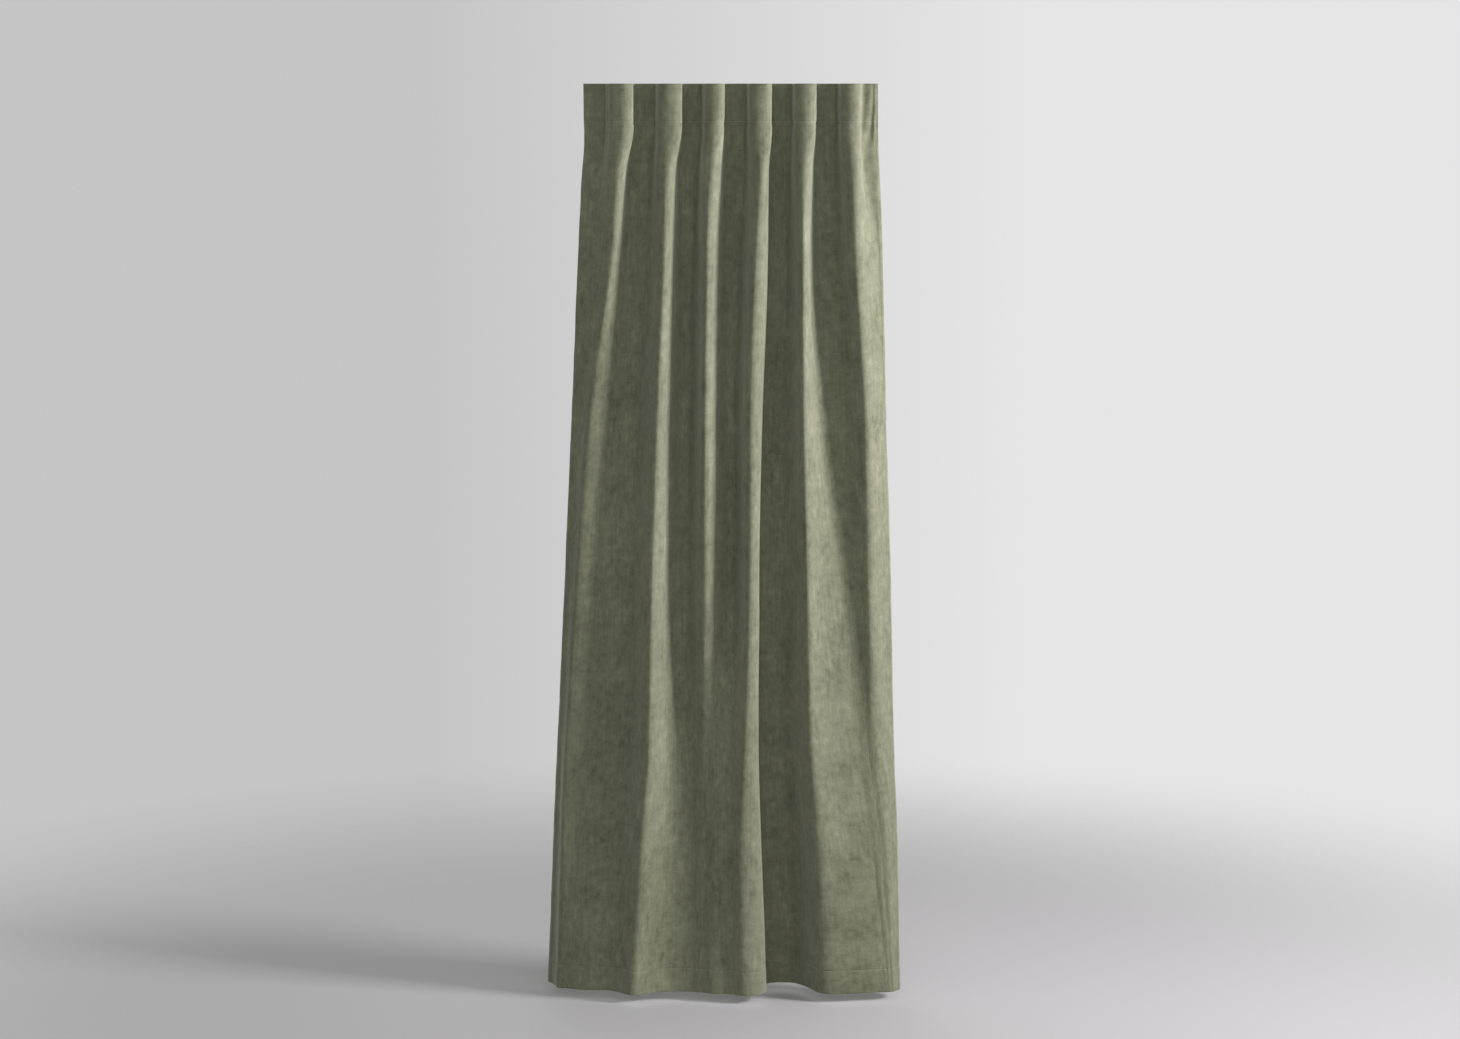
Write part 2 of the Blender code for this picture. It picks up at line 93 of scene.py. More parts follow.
# how the folds hang, the same levels as the frame's cloth
folds = {
    "footOfFirst": 0.055,
    "footOfOthers": 0.030,
    "samplesPerSpan": 3,
    # z, depth, back, soft, valleys, crests, feet, height of the valleys, height of the crests, tuck, tail
    "levels": (
        (0.021, 0.063, 0.0185, 0.0,
         (-0.387, -0.229, -0.103, 0.017, 0.140, 0.263, 0.380),
         (-0.290, -0.165, -0.055, 0.075, 0.195, 0.320),
         (-0.261, -0.130, -0.016, 0.111, 0.231, 0.351),
         (0, 0, 0, 0, 0, 0, 0), (1, 1, 1, 1, 1, 1), (1, 1, 1, 1, 1, 1), (0, 0, 0, 0, 0, 0)),
        (-0.100, 0.065, 0.0185, 0.05,
         (-0.387, -0.230, -0.104, 0.017, 0.140, 0.263, 0.382),
         (-0.295, -0.168, -0.057, 0.078, 0.193, 0.322),
         (-0.262, -0.131, -0.017, 0.111, 0.231, 0.351),
         (0, 0, 0, 0, 0, 0, 0), (1, 1, 1, 1, 1, 1), (1, 1, 1, 1, 1, 1), (0, 0, 0, 0, 0, 0)),
        (-0.209, 0.078, 0.012, 0.5,
         (-0.398, -0.236, -0.108, 0.016, 0.141, 0.268, 0.394),
         (-0.306, -0.180, -0.068, 0.082, 0.184, 0.324),
         (-0.277, -0.143, -0.019, 0.104, 0.228, 0.359),
         (0, 0, 0, 0, 0, 0, 0.25), (0.95, 1, 1, 1, 1, 1), (0.4, 0.5, 0.3, 1, 0.4, 0.7), (0, 0, 0, 0, 0, 0)),
        (-0.424, 0.084, 0.004, 0.9,
         (-0.412, -0.245, -0.110, 0.016, 0.144, 0.275, 0.408),
         (-0.324, -0.184, -0.070, 0.063, 0.191, 0.330),
         (-0.288, -0.142, -0.020, 0.101, 0.232, 0.395),
         (0, 0.05, 0, 0, 0, 0, 0.2), (0.80, 1, 1, 1, 1, 1), (0.1, 0.1, 0.1, 1, 0, 0), (0, 0, 0, 0, 0.2, 0)),
        (-0.886, 0.092, -0.006, 1.0,
         (-0.434, -0.270, -0.120, 0.006, 0.135, 0.296, 0.422),
         (-0.388, -0.204, -0.074, 0.049, 0.196, 0.364),
         (-0.302, -0.147, -0.018, 0.086, 0.255, 0.418),
         (0, 0.08, 0, 0.05, 0, 0.14, 0.20), (0.52, 0.98, 0.92, 0.95, 0.97, 0.74), (0, 0, 0, 0.9, 0, 0),
         (0, 0, 0, 0, 0.5, 0)),
        (-1.313, 0.102, -0.012, 1.0,
         (-0.457, -0.296, -0.126, 0.002, 0.130, 0.326, 0.437),
         (-0.422, -0.219, -0.076, 0.048, 0.206, 0.378),
         (-0.336, -0.156, -0.018, 0.077, 0.292, 0.433),
         (0, 0.12, 0.05, 0.18, 0, 0.30, 0.24), (0.42, 0.98, 0.72, 0.95, 0.92, 0.58), (0, 0, 0, 1, 0, 0),
         (0, 0.2, 0, 0, 1, 0)),
        (-1.801, 0.120, -0.018, 1.0,
         (-0.481, -0.318, -0.126, -0.002, 0.136, 0.360, 0.450),
         (-0.456, -0.229, -0.074, 0.036, 0.216, 0.394),
         (-0.366, -0.163, -0.032, 0.078, 0.340, 0.446),
         (0, 0.25, 0.25, 0.60, 0, 0.58, 0.34), (0.36, 1, 0.54, 0.95, 0.95, 0.60), (0, 0, 0, 1, 0, 0),
         (0, 0.4, 0, 0, 1, 0)),
        (-2.083, 0.134, -0.022, 1.0,
         (-0.495, -0.335, -0.120, -0.018, 0.150, 0.400, 0.461),
         (-0.468, -0.252, -0.080, 0.028, 0.236, 0.424),
         (-0.404, -0.168, -0.045, 0.086, 0.386, 0.457),
         (0, 0.38, 0.50, 0.76, 0, 0.66, 0.46), (0.38, 0.98, 0.60, 1, 0.92, 0.64), (0, 0, 0, 1, 0, 0),
         (0, 0.6, 0, 0, 0.8, 0)),
        (-2.481, 0.144, -0.026, 1.0,
         (-0.512, -0.360, -0.122, -0.020, 0.160, 0.440, 0.470),
         (-0.482, -0.276, -0.086, 0.036, 0.256, 0.450),
         (-0.412, -0.182, -0.052, 0.098, 0.434, 0.467),
         (0, 0.56, 0.66, 0.84, 0, 0.70, 0.56), (0.42, 0.94, 0.73, 1, 0.88, 0.67), (0, 0, 0, 1, 0, 0),
         (0, 0.7, 0, 0, 0, 0)),
    ),
}


def squaredFold(start, end, shoulder, low, nextLow, high, foot):  # a boxy fold of the heading
    return [
        (start, low),
        (start + 0.55 * folds["footOfOthers"], low),
        (foot - 0.004, low + 0.02),
        (foot + 0.001, 0.45 * high),
        (foot + 0.006, 0.90 * high),
        ((foot + shoulder) / 2, high),
        (shoulder - 0.010, 0.99 * high),
        (shoulder + 0.002, 0.80 * high),
        (shoulder - 0.005, 0.42 * high),
        (shoulder - 0.002, nextLow + 0.04),
        ((shoulder + end) / 2, nextLow),
    ]


# a hanging fold has a slow left side and a steep right flank
def hangingFold(start, end, crest, foot, low, nextLow, high, tuck, tail):
    left, flank, rest = crest - start, foot - crest, end - foot
    rise, fall = high - low, high - nextLow
    slope = ((0, 0), (0.20, 0.05), (0.42, 0.22), (0.63, 0.50), (0.82, 0.80), (0.97, 0.98))
    return [(start + s * left, low + h * rise) for s, h in slope] + [
        (crest + (0.20 + 0.16 * tuck - 0.08 * tail) * flank, nextLow + (0.99 - 0.02 * tail) * fall),
        (crest + (0.46 + 0.40 * tuck - 0.16 * tail) * flank,
         nextLow + (0.72 + 0.14 * tuck - 0.10 * tail) * fall),
        (crest + (0.72 + 0.34 * tuck - 0.14 * tail) * flank,
         nextLow + (0.36 + 0.20 * tuck - 0.05 * tail) * fall),
        (foot - 0.008 * tuck, nextLow + (0.07 + 0.09 * tuck) * fall),
        (foot + (0.5 - 0.3 * tuck) * rest, nextLow),
    ]


def foldOutline(level):
    z, depth, back, soft, valley, crest, foot, low, high, tuck, tail = level
    points = [
        (valley[0] - 0.009 + 0.012 * soft, low[0] - 0.22 * soft),
        (valley[0] - 0.007 + 0.004 * soft, low[0] - 0.12 * soft),
    ]
    for i in range(foldCount):
        innerFoot = valley[i] + (folds["footOfFirst"] if i == 0 else folds["footOfOthers"])
        start, end, heights = valley[i], valley[i + 1], (low[i], low[i + 1], high[i])
        boxy = squaredFold(start, end, foot[i], *heights, innerFoot)
        wavy = hangingFold(start, end, crest[i], foot[i], *heights, tuck[i] * soft, tail[i])
        points += [(a[0] + (b[0] - a[0]) * soft, a[1] + (b[1] - a[1]) * soft) for a, b in zip(boxy, wavy)]
    points += [
        (valley[-1], low[-1]),
        (valley[-1] + 0.009 - 0.006 * soft, low[-1] - 0.10 * soft),
        (valley[-1] + 0.0155 - 0.015 * soft, low[-1] - 0.25 * soft),
    ]
    x, height = np.array(points).T
    return np.column_stack([x, -(back + depth * height)])


outlines = np.array([foldOutline(level) for level in folds["levels"]])
levelDrops = np.array([-level[0] for level in folds["levels"]])


def levelSlopes():  # how the outline moves per metre of drop, without overshooting a level
    steps = np.diff(outlines, axis=0) / np.diff(levelDrops)[:, None, None]
    above, below = steps[:-1], steps[1:]
    sameWay = above * below > 0
    total = np.where(sameWay, above + below, 1)
    inner = np.where(sameWay, 2 * above * below / total, 0)
    return np.concatenate([steps[:1], inner, steps[-1:]])


outlineSlopes = levelSlopes()


def outlineAt(z):
    drop = min(max(-z, levelDrops[0]), levelDrops[-1])
    i = min(max(int(np.searchsorted(levelDrops, drop)) - 1, 0), len(levelDrops) - 2)
    span = levelDrops[i + 1] - levelDrops[i]
    t = (drop - levelDrops[i]) / span
    return (
        (2 * t**3 - 3 * t**2 + 1) * outlines[i]
        + (t**3 - 2 * t**2 + t) * span * outlineSlopes[i]
        + (3 * t**2 - 2 * t**3) * outlines[i + 1]
        + (t**3 - t**2) * span * outlineSlopes[i + 1]
    )


def splineWeights(points, perSpan):  # a smooth curve through a row's points, as one matrix
    rows = []
    for span in range(points - 1):
        for step in range(perSpan):
            t = step / perSpan
            row = np.zeros(points + 2)
            row[span:span + 4] = ((1 - t)**3, 3 * t**3 - 6 * t**2 + 4, -3 * t**3 + 3 * t**2 + 3 * t + 1, t**3)
            rows.append(row)
    row = np.zeros(points + 2)
    row[-3:] = (1, 4, 1)
    return np.array(rows + [row]) / 6


weights = splineWeights(outlines.shape[1], folds["samplesPerSpan"])


def clothLine(z):  # the middle of the cloth at one height, left edge to right edge
    points = outlineAt(z)
    points = np.vstack([2 * points[0] - points[1], points, 2 * points[-1] - points[-2]])
    return weights @ points


def lengthsAlong(points):
    steps = np.linalg.norm(np.diff(points, axis=0), axis=1)
    return np.concatenate([[0], np.cumsum(steps)])


def resample(values, lengths, places):
    return np.column_stack([np.interp(places, lengths, values[:, k]) for k in range(values.shape[1])])


# small tools for cloth
def latticeNoise(u, v, sizeU, sizeV, seed):  # smooth values from -1 to 1
    values = np.random.default_rng(seed).uniform(-1, 1, (64, 64))
    x, y = u / sizeU + 7.3, v / sizeV + 3.1
    i, j = np.floor(x).astype(int), np.floor(y).astype(int)
    s, t = x - i, y - j
    s, t = s * s * (3 - 2 * s), t * t * (3 - 2 * t)
    a, b = values[i % 64, j % 64], values[(i + 1) % 64, j % 64]
    c, d = values[i % 64, (j + 1) % 64], values[(i + 1) % 64, (j + 1) % 64]
    return (a * (1 - s) + b * s) * (1 - t) + (c * (1 - s) + d * s) * t


def bell(x, width):
    return np.exp(-(x / width) ** 2)


def ease(x, low, high):
    t = np.clip((x - low) / (high - low), 0, 1)
    return t * t * (3 - 2 * t)


def gridNormals(points):  # the side of the cloth that faces the room
    along, down = np.gradient(points, axis=1), np.gradient(points, axis=0)
    normal = np.cross(down, along)
    normal /= np.linalg.norm(normal, axis=2)[:, :, None]
    return normal


def meshPiece(name, points, uv, materials, closedAcross=False):  # rows and columns of points become quads
    rows, columns = points.shape[:2]
    across = columns if closedAcross else columns - 1
    faces, corners = [], []
    for i in range(rows - 1):
        for j in range(across):
            k = (j + 1) % columns
            faces.append((i * columns + j, (i + 1) * columns + j, (i + 1) * columns + k, i * columns + k))
    mesh = bpy.data.meshes.new(name)
    mesh.from_pydata(points.reshape(-1, 3).tolist(), [], faces)
    layer = mesh.uv_layers.new(name="UVMap")
    index = np.empty(len(mesh.loops), int)
    mesh.loops.foreach_get("vertex_index", index)
    layer.data.foreach_set("uv", uv.reshape(-1, 2)[index].astype(np.float32).ravel())
    for material in materials:
        mesh.materials.append(material)
    mesh.shade_smooth()
    piece = bpy.data.objects.new(name, mesh)
    bpy.context.scene.collection.objects.link(piece)
    return piece


def applyModifiers(piece):
    bpy.context.view_layer.objects.active = piece
    for modifier in list(piece.modifiers):
        bpy.ops.object.modifier_apply(modifier=modifier.name)


def giveThickness(piece, thickness):
    wall = piece.modifiers.new("thickness", "SOLIDIFY")
    wall.thickness = thickness
    wall.offset = 0
    wall.use_quality_normals = True
    applyModifiers(piece)
    return piece


def gatherWithTheDraw(piece):  # held at the panel's fixed end, on a mesh of its own
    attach(piece, "fixed_end")
    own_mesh(piece)
    return piece


# the surface of the hanging cloth
surface = {
    "rowStep": 0.0205,         # below the heading
    "headingStep": 0.0062,
    "besideSeams": (-0.0055, -0.0034, -0.0021, -0.0011, 0, 0.0011, 0.0021, 0.0034, 0.0055),
    "closestRows": 0.0009,
    "seamDip": {"top": 0.0006, "middle": 0.0007, "low": 0.0012, "hem": 0.0009},
    "seamDipWidth": 0.0019,
    "pucker": 0.0009,
    "puckerSize": 0.015,
    "sideSeamInset": 0.020,
    # height, lean, size across, size down, seed
    "hangingWaves": (
        (0.0016, 0, 0.075, 0.62, 21),
        (0.0008, 0.1, 0.034, 0.27, 22),
        (0.0004, 0, 0.019, 0.11, 23),
    ),
    "headingWaves": ((0.0005, 0, 0.022, 0.16, 24),),
    "flatAtLoops": 0.030,
}


def rowHeights():
    heights = list(np.arange(topZ, tapeBottomZ - 0.05, -surface["headingStep"]))
    heights += list(np.arange(heights[-1] - 0.010, bottomZ + 0.030, -surface["rowStep"]))
    heights += [bottomZ + 0.030, bottomZ + 0.018, bottomZ + 0.009, bottomZ + 0.004, bottomZ]
    seams = [z + step for z in seamZ.values() for step in surface["besideSeams"]]
    kept = sorted(seams, reverse=True)
    kept = [z for i, z in enumerate(kept) if i == 0 or kept[i - 1] - z > surface["closestRows"] * 0.6]
    heights = [z for z in heights if min(abs(z - seam) for seam in kept) > 2 * surface["closestRows"]]
    heights = sorted(set(heights + [z for z in kept if z < topZ - 0.001] + [topZ]), reverse=True)
    return np.array(heights)


rowZ = rowHeights()
plainLines = np.array([clothLine(z) for z in rowZ])
columnU = np.mean([lengthsAlong(line) for line in plainLines], axis=0)
clothWidth = columnU[-1]
heldY = -folds["levels"][0][2]
heldU = [columnU[np.argmin(np.hypot(plainLines[0][:, 0] - middle.x, plainLines[0][:, 1] - heldY))]
         for middle in loopMiddles]


def wavesOf(layers, u, z):
    return sum(height * latticeNoise(u + lean * z, z, across, down, seed)
               for height, lean, across, down, seed in layers)


# the small folds at both ends of the heading, which fade out below it
pleats = {
    "fade": 0.30,
    "soft": {"height": 0.0022, "middle": 0.080, "reach": 0.034, "spacing": 0.026, "fadeShare": 0.45},
    "pinched": {"height": 0.0028, "atSeam": 0.0014, "middle": 0.028, "reach": 0.024, "spacing": 0.0155,
                "crest": 0.026, "lean": 0.05, "leanAtSeam": 0.004, "seamReach": 0.045},
}


def softPleats(fromLeft, z):
    soft = pleats["soft"]
    below = np.clip((seamZ["low"] - z) / pleats["fade"], 0, 1)
    wave = np.sin((fromLeft - soft["middle"]) * 2 * pi / soft["spacing"])
    shown = (1 - ease(below, 0, soft["fadeShare"])) * bell(fromLeft - soft["middle"], soft["reach"])
    return soft["height"] * shown * wave


def pinchedPleats(fromRight, z):  # they stand highest where the stitches hold them
    pinched = pleats["pinched"]
    below = np.clip((seamZ["low"] - z) / pleats["fade"], 0, 1)
    shown = (1 - ease(below, 0, 1)) * ease(fromRight, 0.002, 0.012)
    nearSeam = bell(z - seamZ["low"], pinched["seamReach"])
    crest = pinched["crest"] + pinched["lean"] * below + pinched["leanAtSeam"] * nearSeam
    wave = 0.5 + 0.5 * np.cos((fromRight - crest) * 2 * pi / pinched["spacing"])
    height = pinched["height"] + pinched["atSeam"] * nearSeam
    return height * shown * bell(fromRight - pinched["middle"], pinched["reach"]) * wave


edges = {
    "dip": 0.0008,
    "dipWidth": 0.0022,
    "roll": 0.0008,
    "rollWidth": 0.0065,
    "wave": 0.0007,
    "waveReach": 0.045,
    "hemRise": 0.0006,
}


def edgeRelief(edge, z, seed):  # a dip under the stitches, a roll outside them, and a slight wave
    dip = bell(edge - surface["sideSeamInset"], edges["dipWidth"])
    roll = bell(edge - 0.5 * surface["sideSeamInset"], edges["rollWidth"])
    wave = latticeNoise(z, edge, 0.031, 0.5, seed) * ease(edge, edges["waveReach"], 0)
    return edges["roll"] * roll - edges["dip"] * dip + edges["wave"] * wave


def clothRelief(u, z):  # how far the cloth stands towards the room from its plain folds
    relief = np.zeros_like(u)
    fromLeft, fromRight = u, clothWidth - u
    heading = ease(z, seamZ["low"] - 0.02, seamZ["low"] + 0.01)
    for name, seam in seamZ.items():
        reach = 0.012 if name == "top" else 0.030
        ripple = latticeNoise(u, z, surface["puckerSize"], 0.05, 11)
        ripple += 0.5 * latticeNoise(u, z, 0.5 * surface["puckerSize"], 0.03, 12)
        relief += surface["pucker"] * ripple * np.exp(-np.abs(z - seam) / reach)
        relief -= surface["seamDip"][name] * bell(z - seam, surface["seamDipWidth"])
    hanging = 1 - heading
    clearOfHem = ease(z, seamZ["hem"], seamZ["hem"] + 0.15)
    relief += hanging * (0.4 + 0.6 * clearOfHem) * wavesOf(surface["hangingWaves"], u, z)
    relief += heading * wavesOf(surface["headingWaves"], u, z)
    for place in heldU:
        relief *= 1 - ease(z, seamZ["low"] - 0.03, seamZ["low"]) * bell(u - place, surface["flatAtLoops"])
    relief += softPleats(fromLeft, z) + pinchedPleats(fromRight, z)
    for edge, seed in ((fromLeft, 31), (fromRight, 32)):
        relief += edgeRelief(edge, z, seed) * hanging
    relief += edges["hemRise"] * (1 - ease(z, seamZ["hem"] - 0.008, seamZ["hem"] - 0.001))
    return relief


def clothSurface(heights):  # points and room-side normals, rows by columns
    points = np.array([np.column_stack([clothLine(z), np.full(len(weights), z)]) for z in heights])
    normals = gridNormals(points)
    u = np.broadcast_to(columnU, points.shape[:2])
    z = points[:, :, 2]
    points = points + normals * clothRelief(u, z)[:, :, None]
    return points, gridNormals(points)


print("cloth: %d rows by %d columns" % (len(rowZ), len(weights)))


# materials
finish = {
    "chenille": (0.142, 0.150, 0.099),
    "pile": (0.208, 0.216, 0.148),
    "shade": (0.092, 0.098, 0.062),
    "tape": (0.62, 0.62, 0.58),
    "webbing": (0.66, 0.66, 0.62),
    "cord": (0.72, 0.72, 0.68),
    "thread": (0.34, 0.35, 0.25),
    "satin": (0.80, 0.80, 0.78),
}


def addNode(tree, kind, **settings):
    node = tree.nodes.new(kind)
    for name, value in settings.items():
        setattr(node, name, value)
    return node


def setInputs(node, **values):
    for name, value in values.items():
        node.inputs[name.replace("_", " ")].default_value = value


def newGroup(name, inputs, outputs):
    group = bpy.data.node_groups.new(name, "ShaderNodeTree")
    for socket, kind, value in inputs:
        made = group.interface.new_socket(name=socket, in_out="INPUT", socket_type=kind)
        if value is not None:
            made.default_value = value
    for socket, kind in outputs:
        group.interface.new_socket(name=socket, in_out="OUTPUT", socket_type=kind)
    return group, addNode(group, "NodeGroupInput"), addNode(group, "NodeGroupOutput")


def mathNode(tree, operation, first, second=None):
    node = addNode(tree, "ShaderNodeMath", operation=operation)
    for socket, value in zip(node.inputs, (first, second)):
        if isinstance(value, bpy.types.NodeSocket):
            tree.links.new(value, socket)
        elif value is not None:
            socket.default_value = value
    return node.outputs[0]


def stretchedNoise(tree, vector, scale, size, detail=2.0, roughness=0.5):
    mapping = addNode(tree, "ShaderNodeMapping")
    mapping.inputs["Scale"].default_value = scale
    noise = addNode(tree, "ShaderNodeTexNoise")
    setInputs(noise, Scale=size, Detail=detail, Roughness=roughness)
    tree.links.new(vector, mapping.inputs["Vector"])
    tree.links.new(mapping.outputs["Vector"], noise.inputs["Vector"])
    return noise.outputs["Fac"]


def ramp(tree, value, low, high):
    node = addNode(tree, "ShaderNodeMapRange", interpolation_type="SMOOTHSTEP")
    node.inputs["From Min"].default_value = low
    node.inputs["From Max"].default_value = high
    tree.links.new(value, node.inputs["Value"])
    return node.outputs["Result"]


pile = {
    # share, stretch, scale, detail and roughness of the streaks, mottle, patches and broad shading
    "tone": ((0.20, (1, 0.08, 1), 150, 3, 0.5), (0.36, (1, 0.70, 1), 60, 4, 0.65),
             (0.26, (1, 0.55, 1), 21, 3, 0.6), (0.18, (1, 0.35, 1), 6, 2, 0.5)),
    # stretch, scale, and where they start and are full, of the slubs, specks and glints
    "spots": (((0.09, 1, 1), 380, 0.64, 0.74), ((0.7, 1, 1), 320, 0.66, 0.74),
              ((0.8, 1, 1), 245, 0.67, 0.75)),
}


def buildPileGroup():  # the marks that chenille pile shows: streaks, mottle, slubs, specks and glints
    group, given, made = newGroup(
        "chenillePile",
        [("Vector", "NodeSocketVector", None)],
        [(name, "NodeSocketFloat") for name in ("Tone", "Slubs", "Specks", "Glints", "Height")])
    place = given.outputs["Vector"]
    tone = None
    for share, *marks in pile["tone"]:
        layer = mathNode(group, "MULTIPLY", stretchedNoise(group, place, *marks), share)
        tone = layer if tone is None else mathNode(group, "ADD", tone, layer)
    slubs, specks, glints = [ramp(group, stretchedNoise(group, place, stretch, size, 1), low, high)
                             for stretch, size, low, high in pile["spots"]]
    wave = addNode(group, "ShaderNodeTexWave", bands_direction="Y", wave_profile="SIN")
    setInputs(wave, Scale=170, Distortion=2.2, Detail=2, Detail_Scale=1.6)
    group.links.new(place, wave.inputs["Vector"])
    nap = stretchedNoise(group, place, (1, 0.6, 1), 900, 2)
    lumps = stretchedNoise(group, place, (1, 0.4, 1), 130, 3)
    height = mathNode(group, "ADD", mathNode(group, "MULTIPLY", wave.outputs["Fac"], 0.30),
                      mathNode(group, "MULTIPLY", nap, 0.5))
    height = mathNode(group, "ADD", height, mathNode(group, "MULTIPLY", slubs, 0.5))
    height = mathNode(group, "ADD", height, mathNode(group, "MULTIPLY", lumps, 1.6))
    for socket, value in (("Tone", tone), ("Slubs", slubs), ("Specks", specks), ("Glints", glints),
                          ("Height", height)):
        group.links.new(value, made.inputs[socket])
    return group


def buildWeaveGroup():  # narrow ribs crossed by finer ones
    group, given, made = newGroup(
        "wovenRibs",
        [("Vector", "NodeSocketVector", None), ("Ribs", "NodeSocketFloat", 300.0),
         ("Picks", "NodeSocketFloat", 500.0)],
        [("Height", "NodeSocketFloat"), ("Tone", "NodeSocketFloat")])
    place = given.outputs["Vector"]
    heights = []
    for direction, socket in (("X", "Ribs"), ("Y", "Picks")):
        wave = addNode(group, "ShaderNodeTexWave", bands_direction=direction, wave_profile="SIN")
        setInputs(wave, Distortion=0.4, Detail=1)
        group.links.new(place, wave.inputs["Vector"])
        group.links.new(given.outputs[socket], wave.inputs["Scale"])
        heights.append(wave.outputs["Fac"])
    group.links.new(mathNode(group, "MULTIPLY", *heights), made.inputs["Height"])
    group.links.new(stretchedNoise(group, place, (1, 1, 1), 60, 3), made.inputs["Tone"])
    return group


pileGroup = buildPileGroup()
weaveGroup = buildWeaveGroup()


def newMaterial(name):
    material = bpy.data.materials.new(name)
    material.use_nodes = True
    tree = material.node_tree
    return material, tree, tree.nodes["Principled BSDF"]


def mixColours(tree, fac, first, second, blend="MIX"):
    node = addNode(tree, "ShaderNodeMix", data_type="RGBA", blend_type=blend)
    for socket, value in ((node.inputs[0], fac), (node.inputs[6], first), (node.inputs[7], second)):
        if isinstance(value, bpy.types.NodeSocket):
            tree.links.new(value, socket)
        elif isinstance(value, tuple):
            socket.default_value = (*value, 1)
        else:
            socket.default_value = value
    return node.outputs[2]


def useBump(tree, shader, height, strength, distance):
    bump = addNode(tree, "ShaderNodeBump")
    setInputs(bump, Strength=strength, Distance=distance)
    tree.links.new(height, bump.inputs["Height"])
    tree.links.new(bump.outputs["Normal"], shader.inputs["Normal"])


def sageChenille(name, shadeOfPile):
    material, tree, shader = newMaterial(name)
    setInputs(shader, Sheen_Weight=0.55, Sheen_Roughness=0.45, Specular_IOR_Level=0.12)
    shader.inputs["Sheen Tint"].default_value = (0.84, 0.86, 0.73, 1)
    place = addNode(tree, "ShaderNodeUVMap", uv_map="UVMap")
    pile = addNode(tree, "ShaderNodeGroup", node_tree=pileGroup)
    tree.links.new(place.outputs["UV"], pile.inputs["Vector"])
    base = tuple(channel * shadeOfPile for channel in finish["chenille"])
    deep = tuple(channel * shadeOfPile for channel in finish["shade"])
    light = tuple(channel * shadeOfPile for channel in finish["pile"])
    colour = mixColours(tree, ramp(tree, pile.outputs["Tone"], 0.36, 0.52), deep, base)
    colour = mixColours(tree, ramp(tree, pile.outputs["Tone"], 0.49, 0.66), colour, light)
    colour = mixColours(tree, mathNode(tree, "MULTIPLY", pile.outputs["Slubs"], 0.45), colour, light)
    colour = mixColours(tree, mathNode(tree, "MULTIPLY", pile.outputs["Specks"], 0.6), colour, deep)
    colour = mixColours(tree, mathNode(tree, "MULTIPLY", pile.outputs["Glints"], 0.7), colour, light)
    tree.links.new(colour, shader.inputs["Base Color"])
    rough = mathNode(tree, "ADD", mathNode(tree, "MULTIPLY", pile.outputs["Tone"], 0.2), 0.75)
    tree.links.new(rough, shader.inputs["Roughness"])
    useBump(tree, shader, pile.outputs["Height"], 0.5, 0.0006)
    return material


def wovenFinish(name, colour, ribs, picks, roughness, sheen, depth):
    material, tree, shader = newMaterial(name)
    setInputs(shader, Roughness=roughness, Sheen_Weight=sheen, Sheen_Roughness=0.5, Specular_IOR_Level=0.3)
    place = addNode(tree, "ShaderNodeUVMap", uv_map="UVMap")
    weave = addNode(tree, "ShaderNodeGroup", node_tree=weaveGroup)
    setInputs(weave, Ribs=ribs, Picks=picks)
    tree.links.new(place.outputs["UV"], weave.inputs["Vector"])
    worn = tuple(0.82 * channel for channel in colour)
    # painted shade: the colour is darker in the hollows between the woven ribs, where the bump is lowest
    shadeInRibGaps = tuple(0.70 * channel for channel in colour)
    shown = mixColours(tree, ramp(tree, weave.outputs["Tone"], 0.35, 0.65), worn, colour)
    shown = mixColours(tree, ramp(tree, weave.outputs["Height"], 0.0, 0.35), shadeInRibGaps, shown)
    tree.links.new(shown, shader.inputs["Base Color"])
    useBump(tree, shader, weave.outputs["Height"], 0.6, depth)
    return material


faceMaterial = sageChenille("sageChenille", 1.0)
turnedMaterial = sageChenille("sageChenilleReverse", 0.90)
tapeMaterial = wovenFinish("wovenTape", finish["tape"], 210, 330, 0.8, 0.1, 0.0003)
webbingMaterial = wovenFinish("loopWebbing", finish["webbing"], 160, 240, 0.75, 0.1, 0.0004)
cordMaterial = wovenFinish("braidedCord", finish["cord"], 420, 420, 0.7, 0.15, 0.0002)
threadMaterial = wovenFinish("sageThread", finish["thread"], 900, 900, 0.5, 0.3, 0.0001)
satinMaterial = wovenFinish("labelSatin", finish["satin"], 900, 1400, 0.35, 0.0, 0.00005)
print("finishes: %d materials" % len(bpy.data.materials))


# the face cloth
faceCloth = {
    "flat": (1.40, 2.50),
    "thickness": 0.0016,
    "turns": 5,              # steps round each turned edge
    "sideRadius": 0.00185,   # the side and bottom edges are three layers thick
    "headingRadius": 0.0009,
    "topRadius": 0.0009,     # the top turns down behind, above the tape
    "topReturn": (0.002, 0.0042),
}


def turnSteps(radius, steps, returns=()):  # (outwards, share of the way to the back) round a turned edge
    angles = [pi * (k + 1) / steps for k in range(steps)]
    turn = [(radius * sin(angle), (1 - cos(angle)) / 2) for angle in angles]
    return turn + [(-distance, 1.0) for distance in returns]


